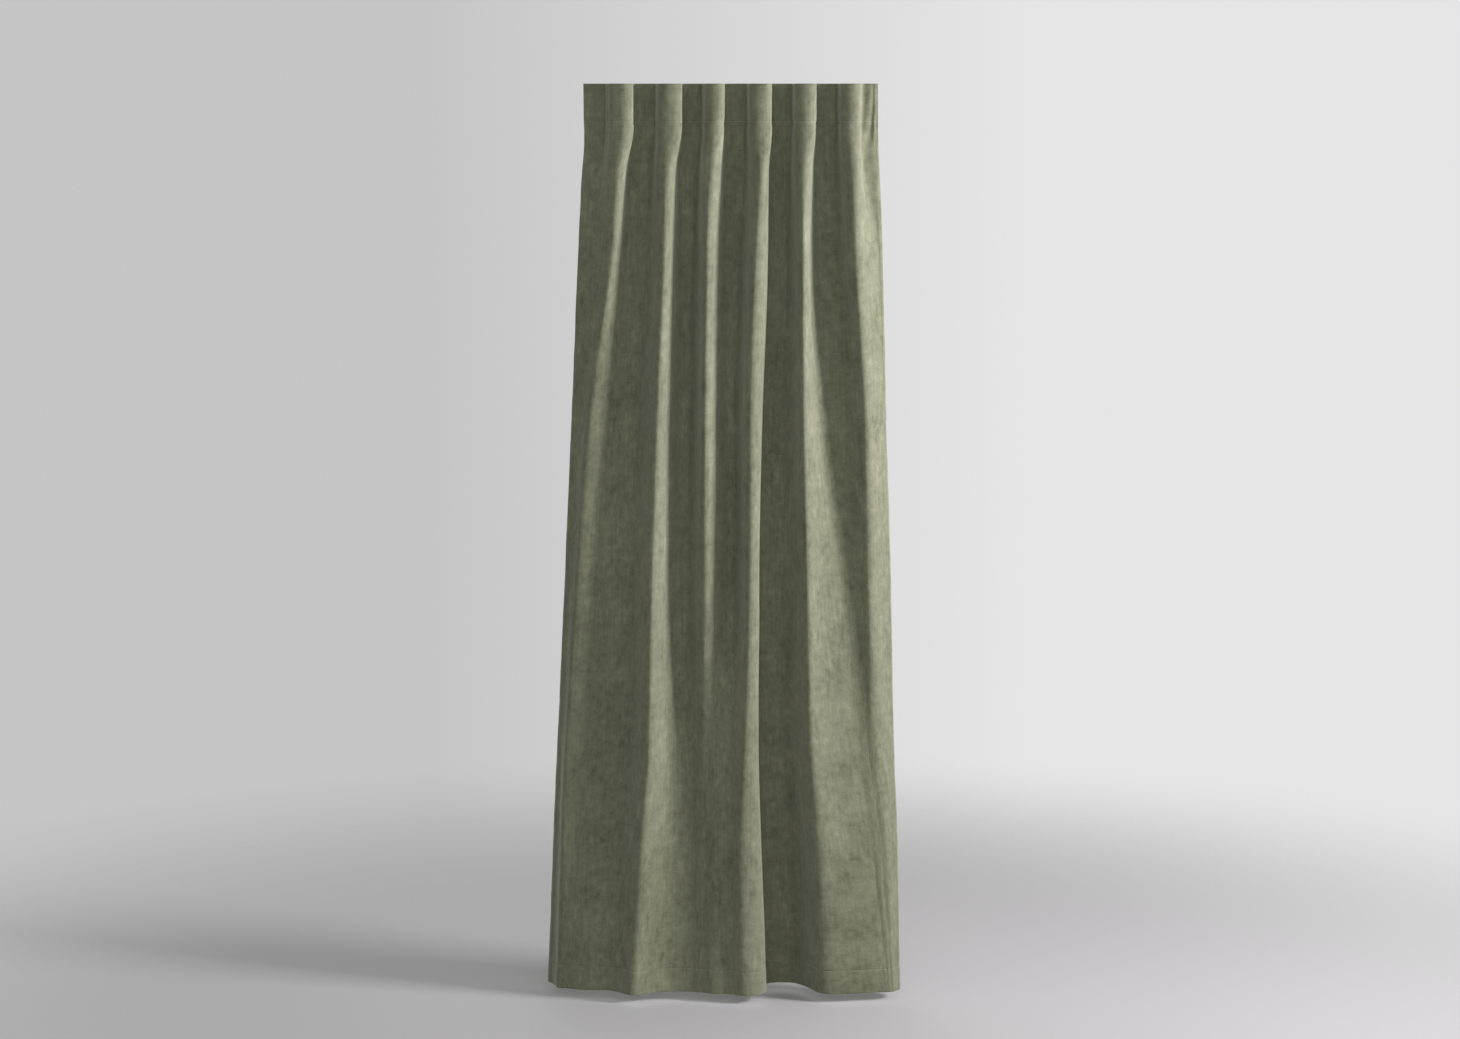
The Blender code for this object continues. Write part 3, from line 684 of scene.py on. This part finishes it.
def buildFaceCloth():
    points, normals = clothSurface(rowZ)
    side = turnSteps(faceCloth["sideRadius"], faceCloth["turns"])
    top = turnSteps(faceCloth["topRadius"], faceCloth["turns"], faceCloth["topReturn"])
    rows, columns = points.shape[:2]
    rowPlan = [(0, out, share, 1) for out, share in reversed(top)]
    rowPlan += [(i, 0, 0, 0) for i in range(rows)] + [(rows - 1, out, share, -1) for out, share in side]
    columnPlan = [(0, out, share) for out, share in reversed(side)]
    columnPlan += [(j, 0, 0) for j in range(columns)] + [(columns - 1, out, share) for out, share in side]
    outwards = np.zeros((rows, columns, 3))
    outwards[:, 0] = points[:, 0] - points[:, 1]
    outwards[:, -1] = points[:, -1] - points[:, -2]
    outwards[:, (0, -1), 2] = 0
    length = np.linalg.norm(outwards, axis=2, keepdims=True)
    outwards = outwards / np.where(length > 0, length, 1)
    rowIndex = np.array([plan[0] for plan in rowPlan])
    columnIndex = np.array([plan[0] for plan in columnPlan])
    base = points[np.ix_(rowIndex, columnIndex)]
    normal = normals[np.ix_(rowIndex, columnIndex)]
    away = outwards[np.ix_(rowIndex, columnIndex)]
    rowOut, rowShare, rowSign = np.array([plan[1:] for plan in rowPlan]).T
    columnOut, columnShare = np.array([plan[1:] for plan in columnPlan]).T
    inHeading = ease(rowZ[rowIndex], tapeBottomZ - 0.014, tapeBottomZ)
    radius = faceCloth["sideRadius"] + (faceCloth["headingRadius"] - faceCloth["sideRadius"]) * inHeading
    radius = np.where(rowSign > 0, faceCloth["topRadius"], radius)
    share = 1 - (1 - rowShare)[:, None] * (1 - columnShare)[None, :]
    grid = base + away * columnOut[None, :, None] - normal * (2 * radius[:, None] * share)[:, :, None]
    grid[:, :, 2] += (rowSign * rowOut)[:, None]
    u = columnU[columnIndex] + columnOut * np.where(columnIndex > 0, 1, -1)
    v = base[:, :, 2] + (rowSign * rowOut)[:, None]
    uv = np.dstack([np.broadcast_to(u, v.shape), v])
    piece = meshPiece("faceCloth", grid, uv, [faceMaterial])
    giveThickness(piece, faceCloth["thickness"])
    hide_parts(*["face_cloth_%d" % (k + 1) for k in range(sections)])
    return gatherWithTheDraw(piece)


clothPiece = buildFaceCloth()
print("face cloth: %d faces" % len(clothPiece.data.polygons))


# strips that lie on the back of the cloth
def backOfCloth(heights, first, last, offset):  # the cloth's surface between two lengths, moved to the back
    points, normals = clothSurface(np.array(heights))
    keep = (columnU > first + 0.001) & (columnU < last - 0.001)
    lines, lengths = [], []
    for row, normal in zip(points, normals):
        moved = row - normal * offset
        ends = resample(moved, columnU, np.array([first, last]))
        lines.append(np.vstack([ends[0], moved[keep], ends[1]]))
        lengths.append(np.concatenate([[first], columnU[keep], [last]]))
    grid = np.array(lines)
    return grid, np.dstack([np.array(lengths), grid[:, :, 2]])


hems = {"thickness": 0.0030, "offset": 0.0030, "insetFromFold": 0.0016, "sideWidth": 0.025}


def buildBottomHem():
    inner = [z for z in rowZ if bottomZ + 0.002 < z < hemTopZ - 0.002]
    heights = [hemTopZ] + inner + [bottomZ + 0.0005]
    inset = hems["insetFromFold"]
    grid, uv = backOfCloth(heights, inset, clothWidth - inset, hems["offset"])
    piece = giveThickness(meshPiece("bottomHem", grid, uv, [turnedMaterial]), hems["thickness"])
    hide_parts(*["bottom_hem_%d" % (k + 1) for k in range(sections)])
    return gatherWithTheDraw(piece)


def buildSideHem(side):
    heights = [tapeBottomZ - 0.003] + [z for z in rowZ if hemTopZ + 0.006 < z < tapeBottomZ - 0.006]
    heights += [hemTopZ + 0.003]
    if side == "left":
        first, last = hems["insetFromFold"], hems["sideWidth"]
    else:
        first, last = clothWidth - hems["sideWidth"], clothWidth - hems["insetFromFold"]
    grid, uv = backOfCloth(heights, first, last, hems["offset"])
    piece = meshPiece("sideHem" + side.capitalize(), grid, uv, [turnedMaterial])
    giveThickness(piece, hems["thickness"])
    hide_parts("side_hem_" + side)
    return gatherWithTheDraw(piece)


hemPieces = [buildBottomHem()] + [buildSideHem(side) for side in ("left", "right")]
print("hems: %d pieces" % len(hemPieces))


# threads, cords and other thin rounds
def surfaceRow(z):  # points and room-side normals of one row, on the cloth's own straight facets
    points, normals = clothSurface(np.array([z + 0.0005, z, z - 0.0005]))
    return points[1], normals[1]


def surfaceColumn(u):  # the same down the panel, at one distance from the left edge
    points, normals = clothSurface(rowZ)
    line = np.array([[np.interp(u, columnU, row[:, k]) for k in range(3)] for row in points])
    away = np.array([[np.interp(u, columnU, row[:, k]) for k in range(3)] for row in normals])
    return line, away


def tubeAlong(path, side, radius, corners, closed=False):  # a ring of corners round every point of a path
    if closed:
        along = np.roll(path, -1, axis=0) - np.roll(path, 1, axis=0)
    else:
        along = np.gradient(path, axis=0)
    along /= np.linalg.norm(along, axis=1)[:, None]
    first = side - along * np.sum(side * along, axis=1)[:, None]
    first /= np.linalg.norm(first, axis=1)[:, None]
    second = np.cross(along, first)
    angles = 2 * pi * np.arange(corners) / corners
    rings = (path[:, None] + radius * (first[:, None] * np.cos(angles)[None, :, None]
                                       + second[:, None] * np.sin(angles)[None, :, None]))
    return rings


def tubeMesh(name, tubes, material, closed=False):  # several tubes as one mesh, with their ends filled
    points, faces, uv = [], [], []
    for rings in tubes:
        base, (count, corners) = len(points), rings.shape[:2]
        lengths = lengthsAlong(rings.mean(axis=1))
        for i in range(count):
            for j in range(corners):
                points.append(rings[i, j])
                uv.append((0.004 * j / corners, lengths[i]))
        for i in range(count if closed else count - 1):
            n = (i + 1) % count
            for j in range(corners):
                k = (j + 1) % corners
                faces.append((base + i * corners + j, base + i * corners + k,
                              base + n * corners + k, base + n * corners + j))
        if not closed:
            faces.append(tuple(base + j for j in reversed(range(corners))))
            faces.append(tuple(base + (count - 1) * corners + j for j in range(corners)))
    mesh = bpy.data.meshes.new(name)
    mesh.from_pydata([tuple(point) for point in points], [], faces)
    layer = mesh.uv_layers.new(name="UVMap")
    index = np.empty(len(mesh.loops), int)
    mesh.loops.foreach_get("vertex_index", index)
    layer.data.foreach_set("uv", np.array(uv, np.float32)[index].ravel())
    mesh.materials.append(material)
    mesh.shade_smooth()
    piece = bpy.data.objects.new(name, mesh)
    bpy.context.scene.collection.objects.link(piece)
    return piece


def joinPieces(pieces):
    bpy.ops.object.select_all(action="DESELECT")
    for piece in pieces:
        piece.select_set(True)
    bpy.context.view_layer.objects.active = pieces[0]
    bpy.ops.object.join()
    bpy.ops.object.select_all(action="DESELECT")
    return pieces[0]


stitching = {
    "length": 0.0036,
    "radius": {"top": 0.00026, "middle": 0.00042, "low": 0.00026, "hem": 0.00036, "side": 0.00024},
    "corners": 4,
    # how far along a stitch, and how high the thread stands there
    "arc": ((0.0, -0.00060), (0.14, 0), (0.32, 0.00020), (0.50, 0.00024), (0.68, 0.00020), (0.86, 0)),
    "bobbin": 0.00017,       # radius of the thread behind
    "bobbinLift": 0.4,
    "onCloth": 0.0009,       # from the middle of the cloth to a thread on its face
    "behindTape": 0.0023,
    "behindHem": 0.0047,
}


def stitchTubes(line, away, front, back, radius):  # a needle thread in front and a bobbin thread behind
    lengths = lengthsAlong(line)
    count = int(lengths[-1] / stitching["length"])
    places = np.array([(i + t) * stitching["length"] for i in range(count) for t, h in stitching["arc"]])
    lift = np.array([h for i in range(count) for t, h in stitching["arc"]])
    middle, normal = resample(line, lengths, places), resample(away, lengths, places)
    needle = middle + normal * (front + lift)[:, None]
    bobbin = middle - normal * (back + stitching["bobbinLift"] * lift)[:, None]
    return [tubeAlong(path, normal, size, stitching["corners"])
            for path, size in ((needle, radius), (bobbin, stitching["bobbin"]))]


def buildSeam(node, line, away, behind, kind):
    words = node.split("_")
    name = words[0] + "".join(word.capitalize() for word in words[1:])
    tubes = stitchTubes(line, away, stitching["onCloth"], behind, stitching["radius"][kind])
    piece = tubeMesh(name, tubes, threadMaterial)
    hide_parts(node)
    return gatherWithTheDraw(piece)


def buildSeams():
    seams = []
    for name, node in (("top", "heading_seam_top"), ("middle", "heading_seam_middle"),
                       ("low", "heading_seam_low"), ("hem", "bottom_hem_seam")):
        line, away = surfaceRow(seamZ[name])
        inside = (columnU > 0.004) & (columnU < clothWidth - 0.004)
        behind = stitching["behindHem" if name == "hem" else "behindTape"]
        seams.append(buildSeam(node, line[inside], away[inside], behind, name))
    inset = surface["sideSeamInset"]
    inside = (rowZ < tapeBottomZ - 0.006) & (rowZ > hemTopZ + 0.006)
    for side, place in (("left", inset), ("right", clothWidth - inset)):
        line, away = surfaceColumn(place)
        node = "side_seam_" + side
        seams.append(buildSeam(node, line[inside], away[inside], stitching["behindHem"], "side"))
    return seams


seamPieces = buildSeams()
print("seams: %d rows of stitches" % len(seamPieces))


# the draw cords lie on the tape, under its woven bridges, and are knotted at their ends
cords = {
    "radius": 0.0008,
    "corners": 8,
    "behindTape": 0.0034,    # from the middle of the cloth to the middle of a cord
    "endInset": 0.012,
    "step": 0.0030,
    "knotSize": 0.00068,
    "knotPoints": 42,
    "bridgeEvery": 0.024,
    "bridgeWidth": 0.007,
    "bridgeThickness": 0.0004,
    "bridge": ((-0.0040, 0.0002), (-0.0028, 0.0004), (-0.0018, 0.0013), (-0.0010, 0.0021), (0, 0.0024),
               (0.0010, 0.0021), (0.0018, 0.0013), (0.0028, 0.0004), (0.0040, 0.0002)),
}


headingTape = {"thickness": 0.0008, "offset": 0.0018, "endInset": 0.003}


def buildBridges(word):  # short straps woven over a draw cord, all along the tape
    z = middleOf("draw_cord_" + word).z
    back = headingTape["offset"] + headingTape["thickness"] / 2
    profile = [(*surfaceRow(z + step), back + rise) for step, rise in cords["bridge"]]
    strips = []
    for start in np.arange(0.012, clothWidth - 0.012, cords["bridgeEvery"]):
        places = start + cords["bridgeWidth"] * np.linspace(0, 1, 4)
        grid = np.array([resample(line - away * offset, columnU, places) for line, away, offset in profile])
        uv = np.dstack([np.broadcast_to(places, grid.shape[:2]), grid[:, :, 2]])
        strips.append(meshPiece("bridge", grid, uv, [tapeMaterial]))
    return giveThickness(joinPieces(strips), cords["bridgeThickness"])


def buildHeadingTape():
    heights = [tapeTopZ] + [z for z in rowZ if tapeBottomZ + 0.001 < z < tapeTopZ - 0.001] + [tapeBottomZ]
    grid, uv = backOfCloth(heights, headingTape["endInset"], clothWidth - headingTape["endInset"],
                           headingTape["offset"])
    piece = giveThickness(meshPiece("headingTape", grid, uv, [tapeMaterial]), headingTape["thickness"])
    piece = joinPieces([piece] + [buildBridges(word) for word in ("upper", "lower")])
    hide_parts(*["heading_tape_%d" % (k + 1) for k in range(sections)])
    return gatherWithTheDraw(piece)


buildHeadingTape()
print("heading tape is on")


def knotRings(centre, along, away):  # one overhand knot, drawn tight
    t = 2 * pi * np.arange(cords["knotPoints"]) / cords["knotPoints"]
    across = np.cross(along, away)
    size = cords["knotSize"]
    path = (centre + size * ((np.sin(t) + 2 * np.sin(2 * t))[:, None] * across
                             + (np.cos(t) - 2 * np.cos(2 * t))[:, None] * along
                             - 0.9 * np.sin(3 * t)[:, None] * away))
    side = np.broadcast_to(away, path.shape)
    return tubeAlong(path, side, 0.9 * cords["radius"], cords["corners"], closed=True)


def buildDrawCord(word):
    z = middleOf("draw_cord_" + word).z
    line, away = surfaceRow(z)
    middle = line - away * cords["behindTape"]
    lengths = lengthsAlong(middle)
    places = np.arange(cords["endInset"], lengths[-1] - cords["endInset"], cords["step"])
    path, normal = resample(middle, lengths, places), resample(away, lengths, places)
    rope = tubeMesh("drawCord" + word.capitalize(),
                    [tubeAlong(path, normal, cords["radius"], cords["corners"])], cordMaterial)
    knots = []
    for end, inner, face in ((path[0], path[1], normal[0]), (path[-1], path[-2], normal[-1])):
        outwards = (end - inner) / np.linalg.norm(end - inner)
        face = face - outwards * float(face @ outwards)
        face /= np.linalg.norm(face)
        centre = end + outwards * 0.0006 - face * 0.0006
        knots.append(tubeMesh("knot", [knotRings(centre, outwards, face)], cordMaterial, closed=True))
    piece = joinPieces([rope] + knots)
    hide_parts("draw_cord_" + word, "cord_knot_%s_left" % word, "cord_knot_%s_right" % word)
    return gatherWithTheDraw(piece)


for word in ("upper", "lower"):
    buildDrawCord(word)


# the loops, each woven band over the pole and tacked to the tape at both feet
loopBand = {
    "thickness": 0.0014,
    "innerRadius": 0.01435,
    "footGap": 0.0005,
    "step": 6,               # degrees
    "footRise": ((0.0, 0.0028), (0.0014, 0.0012), (0.0040, 0.0004), (0.0080, 0.0)),
    "lowerFoot": 0.008,
    "edge": ((1, 0), (0.86, 0.38), (0.5, 0.5), (0.25, 0.5), (0, 0.5)),
    "tackWidth": 0.0030,
    "tackStep": 0.0008,
}


def loopPath(low, high):  # (y, z) of the band's middle, upper foot first
    half = loopBand["thickness"] / 2
    footY, radius = low.y + half + loopBand["footGap"], loopBand["innerRadius"] + half
    path = [(footY, high.z), (footY, high.z - 0.001)]
    path += [(footY + y, radius + z) for y, z in loopBand["footRise"]]
    foot = (footY, low.z + loopBand["lowerFoot"])
    tangent = atan2(foot[1], foot[0]) % (2 * pi) + acos(radius / hypot(*foot)) - 2 * pi
    angles = np.arange(pi / 2 - radians(loopBand["step"]) / 2, tangent, -radians(loopBand["step"]))
    path += [(radius * cos(angle), radius * sin(angle)) for angle in list(angles) + [tangent]]
    end = path[-1]
    path += [(end[0] + (foot[0] - end[0]) * t, end[1] + (foot[1] - end[1]) * t) for t in (0.25, 0.5, 0.75)]
    return np.array(path + [foot, (footY, low.z + 0.004), (footY, low.z)])


def bandMesh(name, path, width, middleX):  # a band with soft edges along a path of (y, z)
    halfWidth, thickness = width / 2, loopBand["thickness"]
    quarter = [(halfWidth - 0.0007 + 0.0007 * x, thickness * h) for x, h in loopBand["edge"][:3]]
    inner = [(halfWidth * share, thickness * 0.5) for share in (0.8, 0.5, 0.2)]
    upper = quarter + inner
    ring = upper + [(-x, h) for x, h in reversed(upper)]
    ring += [(x, -h) for x, h in reversed(ring[1:-1])]
    along = np.gradient(path, axis=0)
    along /= np.linalg.norm(along, axis=1)[:, None]
    square = np.column_stack([-along[:, 1], along[:, 0]])
    lengths = lengthsAlong(path)
    points = np.array([[(middleX + x, place[0] + side[0] * h, place[1] + side[1] * h) for x, h in ring]
                       for place, side in zip(path, square)])
    uv = np.array([[(x, length) for x, h in ring] for length in lengths])
    piece = meshPiece(name, points, uv, [webbingMaterial], closedAcross=True)
    bpy.ops.object.select_all(action="DESELECT")
    bpy.context.view_layer.objects.active = piece
    piece.select_set(True)
    bpy.ops.object.mode_set(mode="EDIT")
    bpy.ops.mesh.select_all(action="SELECT")
    bpy.ops.mesh.fill_holes(sides=0)
    bpy.ops.mesh.normals_make_consistent(inside=False)
    bpy.ops.object.mode_set(mode="OBJECT")
    return piece


def tackRings(middleX, width, z, y):  # a bar of close zigzag stitches across the band
    steps = np.arange(-width / 2 + 0.003, width / 2 - 0.003, loopBand["tackStep"])
    flip = np.where(np.arange(len(steps)) % 2 == 0, 0.5, -0.5) * loopBand["tackWidth"]
    path = np.column_stack([middleX + steps, np.full(len(steps), y), z + flip])
    return tubeAlong(path, np.broadcast_to((0.0, 1.0, 0.0), path.shape), 0.00030, 4)


def buildLoop(number):
    node = "hidden_loop_%d" % number
    low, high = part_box(node)
    width, middleX = high.x - low.x, (low.x + high.x) / 2
    band = bandMesh("hiddenLoop%d" % number, loopPath(low, high), width, middleX)
    back = low.y + loopBand["thickness"] + loopBand["footGap"] + 0.0001
    tacks = tubeMesh("tacks", [tackRings(middleX, width, z, back) for z in (high.z - 0.0020, low.z + 0.0035)],
                     cordMaterial)
    piece = joinPieces([band, tacks])
    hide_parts(node)
    carrier = {1: "fixed_end", sections: "leading_edge"}.get(number, "loop_carrier_%d" % number)
    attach(piece, carrier)
    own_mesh(piece)
    return piece


loopPieces = [buildLoop(k + 1) for k in range(sections)]
print("loops: %d bands over the pole, and 2 draw cords" % len(loopPieces))


# the blank care label on the back of the left side hem
label = {"thickness": 0.0005, "offset": 0.0058, "rows": 9, "seamDrop": 0.003}


def buildCareLabel():
    low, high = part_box("care_label")
    line, away = surfaceRow((low.z + high.z) / 2)
    nearLeft = columnU < 0.05
    first, last = (float(np.interp(x, line[nearLeft][:, 0], columnU[nearLeft])) for x in (low.x, high.x))
    first, last = max(first, 0.003), max(last, first + 0.014)
    heights = np.linspace(high.z, low.z, label["rows"])
    grid, uv = backOfCloth(heights, first, last, label["offset"])
    piece = giveThickness(meshPiece("careLabel", grid, uv, [satinMaterial]), label["thickness"])
    seamLine, seamAway = surfaceRow(high.z - label["seamDrop"])
    places = np.linspace(first + 0.001, last - 0.001, 12)
    seamLine, seamAway = resample(seamLine, columnU, places), resample(seamAway, columnU, places)
    threads = stitchTubes(seamLine - seamAway * label["offset"], -seamAway, label["thickness"] / 2 + 0.0001,
                          0.0002, stitching["radius"]["side"])
    piece = joinPieces([piece, tubeMesh("labelStitches", threads, cordMaterial)])
    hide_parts("care_label")
    return gatherWithTheDraw(piece)


buildCareLabel()
print("care label is on")


# studio
studio = {
    "floorZ": bottomZ - 0.028,
    "floorSize": 7.0,
    "floorColour": (0.42, 0.42, 0.42),
    # painted light on the backdrop: darker on the left, lighter on the right, as if lit from the right
    "backdropPaintedLightLeft": 0.56,
    "backdropPaintedLightRight": 0.79,
    "skyLeft": 0.36,
    "skyRight": 0.70,
    # name, place, target, width, height, power, colour
    "lamps": (
        ("keyFromRight", (4 * sin(radians(71)), -4 * cos(radians(71)), -0.25), (0, 0, 1.5), 0.9, 1.5, 376,
         (1, 0.955, 1)),
        ("softFill", (1.0, -6, 0.4), (0, 0, -1.2), 4, 4, 75, (1, 1, 1)),
        ("backFill", (-1.2, 5, 0.8), (0, 0, -1.2), 3, 3, 40, (1, 1, 1)),
    ),
    "lens": 81.27,
    "filmWidth": 36,
    "cameraPlace": (-0.0022, -9, 0),
    "cameraDrop": 7.39,      # degrees below level
}


def addFloor():
    bpy.ops.mesh.primitive_circle_add(vertices=96, radius=studio["floorSize"], fill_type="NGON",
                                      location=(0, 0, studio["floorZ"]))
    floor = bpy.context.object
    floor.name = "studioFloor"
    material, tree, shader = newMaterial("floorPaint")
    shader.inputs["Base Color"].default_value = (*studio["floorColour"], 1)
    setInputs(shader, Roughness=0.75, Specular_IOR_Level=0.2)
    place = addNode(tree, "ShaderNodeTexCoord")
    far = addNode(tree, "ShaderNodeVectorMath", operation="LENGTH")
    tree.links.new(place.outputs["Object"], far.inputs[0])
    fade = ramp(tree, far.outputs["Value"], 1.2, studio["floorSize"] * 0.5)
    tree.links.new(mathNode(tree, "SUBTRACT", 1.0, fade), shader.inputs["Alpha"])
    floor.data.materials.append(material)


def addAreaLight(name, place, target, size, sizeY, power, colour):
    light = bpy.data.lights.new(name, "AREA")
    light.shape = "RECTANGLE"
    light.size, light.size_y, light.energy, light.color = size, sizeY, power, colour
    lamp = bpy.data.objects.new(name, light)
    bpy.context.scene.collection.objects.link(lamp)
    lamp.location = place
    lamp.rotation_euler = (Vector(target) - Vector(place)).to_track_quat("-Z", "Y").to_euler()


def addWorld():  # an even sky for the light, a little darker on the left, and a backdrop with painted light, darker on the left and lighter on the right
    world = bpy.data.worlds.new("studioAir")
    bpy.context.scene.world = world
    world.use_nodes = True
    tree = world.node_tree
    sky = tree.nodes["Background"]
    setInputs(sky, Color=(1, 1, 1, 1))
    direction = addNode(tree, "ShaderNodeTexCoord")
    parts = addNode(tree, "ShaderNodeSeparateXYZ")
    tree.links.new(direction.outputs["Generated"], parts.inputs[0])
    side = addNode(tree, "ShaderNodeMapRange")
    setInputs(side, From_Min=-1, From_Max=1, To_Min=studio["skyLeft"], To_Max=studio["skyRight"])
    tree.links.new(parts.outputs["X"], side.inputs["Value"])
    tree.links.new(side.outputs["Result"], sky.inputs["Strength"])
    # painted light: the backdrop the camera sees grows lighter from left to right
    backdrop = addNode(tree, "ShaderNodeBackground")
    shade = addNode(tree, "ShaderNodeMapRange")
    setInputs(shade, From_Min=-0.09, From_Max=0.09)
    setInputs(shade, To_Min=studio["backdropPaintedLightLeft"], To_Max=studio["backdropPaintedLightRight"])
    tree.links.new(parts.outputs["X"], shade.inputs["Value"])
    tree.links.new(shade.outputs["Result"], backdrop.inputs["Strength"])
    setInputs(backdrop, Color=(1, 1, 1, 1))
    seen = addNode(tree, "ShaderNodeLightPath")
    mix = addNode(tree, "ShaderNodeMixShader")
    tree.links.new(seen.outputs["Is Camera Ray"], mix.inputs[0])
    tree.links.new(sky.outputs[0], mix.inputs[1])
    tree.links.new(backdrop.outputs[0], mix.inputs[2])
    tree.links.new(mix.outputs[0], tree.nodes["World Output"].inputs["Surface"])


def addCamera():
    lens = bpy.data.cameras.new("camera")
    lens.lens = studio["lens"]
    lens.sensor_width = studio["filmWidth"]
    camera = bpy.data.objects.new("camera", lens)
    bpy.context.scene.collection.objects.link(camera)
    camera.location = studio["cameraPlace"]
    camera.rotation_euler = (radians(90 - studio["cameraDrop"]), 0, 0)
    bpy.context.scene.camera = camera


addFloor()
for lamp in studio["lamps"]:
    addAreaLight(*lamp)
addWorld()
addCamera()
bpy.context.scene.view_settings.view_transform = "Standard"
print("studio is set")
